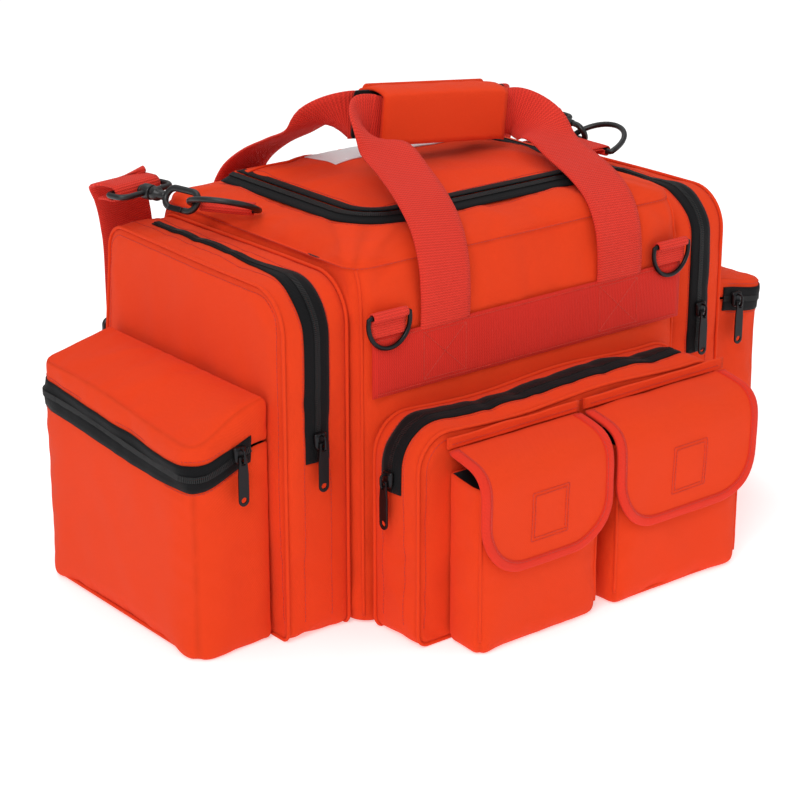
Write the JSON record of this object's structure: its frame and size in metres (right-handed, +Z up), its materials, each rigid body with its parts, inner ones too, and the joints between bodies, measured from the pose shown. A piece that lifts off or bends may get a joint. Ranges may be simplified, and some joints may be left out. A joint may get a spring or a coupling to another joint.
{
  "type": "trauma duffel bag",
  "caption": "Soft duffel-shaped trauma bag with zipped lid, end pockets, front pockets with flaps, carry loops with a wrapped grip and a clip-on shoulder strap.",
  "frame": {"origin": "middle of the main compartment's underside, on the ground", "axes": "+X along the bag from its left end to its right end as seen from the front, -Y towards the front pockets, +Z up"},
  "size_m": [0.6328, 0.415, 0.4004],
  "materials": {
    "cloth": "fine woven nylon",
    "webbing": "ribbed woven webbing",
    "tape": "black woven tape",
    "plastic": "moulded satin black",
    "dark_metal": "gunmetal satin",
    "board": "stiff board"
  },
  "bodies": {
    "bag": {"body_shell": "cloth", "base_board": "board", "lid_zip_body_half": "tape", "front_band": "webbing", "rear_band": "webbing", "tall_pocket_left": "cloth", "tall_pocket_right": "cloth", "tall_zip_left": "tape", "tall_zip_right": "tape", "outer_pocket_left": "cloth", "outer_pocket_right": "cloth", "outer_zip_left": "tape", "outer_zip_right": "tape", "front_pocket": "cloth", "front_zip": "tape", "flap_pocket_left": "cloth", "flap_pocket_right": "cloth", "loop_patch_left": "tape", "loop_patch_right": "tape", "front_ring_tab_left": "webbing", "front_ring_tab_right": "webbing", "end_ring_tab_left": "webbing", "end_ring_tab_right": "webbing", "end_ring_left": "plastic", "end_ring_right": "plastic", "hook_eye_left": "plastic", "hook_eye_right": "plastic", "shoulder_strap": "webbing", "shoulder_pad": "cloth", "strap_adjuster": "plastic"},
    "lid": {"lid_panel": "cloth", "lid_zip_lid_half": "tape"},
    "lid_slider": {"lid_zip_slider": "dark_metal"},
    "lid_pull": {"lid_zip_pull": "dark_metal"},
    "front_handle": {"front_loop": "webbing", "grip_front_panel": "cloth"},
    "rear_handle": {"rear_loop": "webbing", "grip_rear_panel": "cloth", "grip_hook_strip": "tape"},
    "front_slider": {"front_zip_slider": "dark_metal"},
    "front_pull": {"front_zip_pull": "dark_metal"},
    "tall_slider_left": {"tall_zip_left_slider": "dark_metal"},
    "tall_pull_left": {"tall_zip_left_pull": "dark_metal"},
    "outer_lid_left": {"outer_lid_left": "cloth"},
    "outer_slider_left": {"outer_zip_left_slider": "dark_metal"},
    "outer_pull_left": {"outer_zip_left_pull": "dark_metal"},
    "flap_left": {"flap_left": "cloth"},
    "front_ring_left": {"front_ring_left": "dark_metal"},
    "snap_hook_left": {"snap_hook_left": "plastic"},
    "snap_gate_left": {"snap_gate_left": "dark_metal"},
    "tall_slider_right": {"tall_zip_right_slider": "dark_metal"},
    "tall_pull_right": {"tall_zip_right_pull": "dark_metal"},
    "outer_lid_right": {"outer_lid_right": "cloth"},
    "outer_slider_right": {"outer_zip_right_slider": "dark_metal"},
    "outer_pull_right": {"outer_zip_right_pull": "dark_metal"},
    "flap_right": {"flap_right": "cloth"},
    "front_ring_right": {"front_ring_right": "dark_metal"},
    "snap_hook_right": {"snap_hook_right": "plastic"},
    "snap_gate_right": {"snap_gate_right": "dark_metal"}
  },
  "joints": [
    {"name": "front_loop_fold", "type": "hinge", "parent": "bag", "child": "front_handle", "pos_m": [0, -0.148, 0.2481], "axis": [1, 0, 0], "range_deg": [0, 110]},
    {"name": "rear_loop_fold", "type": "hinge", "parent": "bag", "child": "rear_handle", "pos_m": [0, 0.148, 0.2481], "axis": [-1, 0, 0], "range_deg": [0, 110]},
    {"name": "lid_open", "type": "hinge", "parent": "bag", "child": "lid", "pos_m": [0, 0.092, 0.324], "axis": [-1, 0, 0], "range_deg": [0, 82.5]},
    {"name": "lid_zip_slide", "type": "slide", "parent": "bag", "child": "lid_slider", "axis": [0, -1, 0], "range_m": [0, 0.116]},
    {"name": "lid_pull_swing", "type": "hinge", "parent": "lid_slider", "child": "lid_pull", "pos_m": [0.1327, 0.076, 0.3266], "axis": [1, 0, 0], "range_deg": [0, 100]},
    {"name": "front_zip_slide", "type": "slide", "parent": "bag", "child": "front_slider", "axis": [0, 0, 1], "range_m": [0, 0.01]},
    {"name": "front_pull_swing", "type": "hinge", "parent": "front_slider", "child": "front_pull", "pos_m": [-0.1746, -0.17105, 0.138], "axis": [0, 1, 0], "range_deg": [0, 150]},
    {"name": "tall_zip_left_slide", "type": "slide", "parent": "bag", "child": "tall_slider_left", "axis": [0, 0, 1], "range_m": [0, 0.084]},
    {"name": "tall_pull_left_swing", "type": "hinge", "parent": "tall_slider_left", "child": "tall_pull_left", "pos_m": [-0.2078, -0.1386, 0.168], "axis": [-1, 0, 0], "range_deg": [0, 150]},
    {"name": "outer_lid_left_open", "type": "hinge", "parent": "bag", "child": "outer_lid_left", "pos_m": [-0.2406, 0, 0.206], "axis": [0, 1, 0], "range_deg": [0, 90]},
    {"name": "outer_zip_left_slide", "type": "slide", "parent": "bag", "child": "outer_slider_left", "axis": [-1, 0, 0], "range_m": [0, 0.02]},
    {"name": "outer_pull_left_swing", "type": "hinge", "parent": "outer_slider_left", "child": "outer_pull_left", "pos_m": [-0.2716, -0.1216, 0.167], "axis": [-1, 0, 0], "range_deg": [0, 150]},
    {"name": "flap_left_lift", "type": "hinge", "parent": "bag", "child": "flap_left", "pos_m": [-0.0705, -0.2041, 0.166], "axis": [-1, 0, 0], "range_deg": [0, 90]},
    {"name": "front_ring_left_swing", "type": "hinge", "parent": "bag", "child": "front_ring_left", "pos_m": [-0.152, -0.1503, 0.2633], "axis": [-1, 0, 0], "range_deg": [0, 150]},
    {"name": "snap_hook_left_swivel", "type": "hinge", "parent": "bag", "child": "snap_hook_left", "pos_m": [-0.20284, 0.0419, 0.31975], "axis": [-0.1893, 0.9819, 0], "range_deg": [-10, 10]},
    {"name": "snap_gate_left_press", "type": "hinge", "parent": "snap_hook_left", "child": "snap_gate_left", "pos_m": [-0.21041, 0.05923, 0.3125], "axis": [-0.8522, -0.1643, 0.4968], "range_deg": [0, 20], "stiffness_Nm_per_rad": 0.02},
    {"name": "tall_zip_right_slide", "type": "slide", "parent": "bag", "child": "tall_slider_right", "axis": [0, 0, 1], "range_m": [0, 0.062]},
    {"name": "tall_pull_right_swing", "type": "hinge", "parent": "tall_slider_right", "child": "tall_pull_right", "pos_m": [0.2078, -0.1386, 0.19], "axis": [-1, 0, 0], "range_deg": [0, 150]},
    {"name": "outer_lid_right_open", "type": "hinge", "parent": "bag", "child": "outer_lid_right", "pos_m": [0.2406, 0, 0.206], "axis": [0, -1, 0], "range_deg": [0, 90]},
    {"name": "outer_zip_right_slide", "type": "slide", "parent": "bag", "child": "outer_slider_right", "axis": [1, 0, 0], "range_m": [0, 0.02]},
    {"name": "outer_pull_right_swing", "type": "hinge", "parent": "outer_slider_right", "child": "outer_pull_right", "pos_m": [0.2716, -0.1216, 0.182], "axis": [-1, 0, 0], "range_deg": [0, 150]},
    {"name": "flap_right_lift", "type": "hinge", "parent": "bag", "child": "flap_right", "pos_m": [0.083, -0.2041, 0.166], "axis": [-1, 0, 0], "range_deg": [0, 90]},
    {"name": "front_ring_right_swing", "type": "hinge", "parent": "bag", "child": "front_ring_right", "pos_m": [0.152, -0.1503, 0.2633], "axis": [-1, 0, 0], "range_deg": [0, 150]},
    {"name": "snap_hook_right_swivel", "type": "hinge", "parent": "bag", "child": "snap_hook_right", "pos_m": [0.21002, 0.02702, 0.31675], "axis": [0.1203, 0.9927, 0], "range_deg": [-10, 10]},
    {"name": "snap_gate_right_press", "type": "hinge", "parent": "snap_hook_right", "child": "snap_gate_right", "pos_m": [0.20882, 0.04575, 0.32435], "axis": [0.9042, -0.1096, 0.4129], "range_deg": [0, 20], "stiffness_Nm_per_rad": 0.02}
  ],
  "couplings": [
    {"joint": "rear_loop_fold", "follows": "front_loop_fold", "ratio": 1},
    {"joint": "lid_open", "follows": "front_loop_fold", "ratio": 0.75}
  ]
}
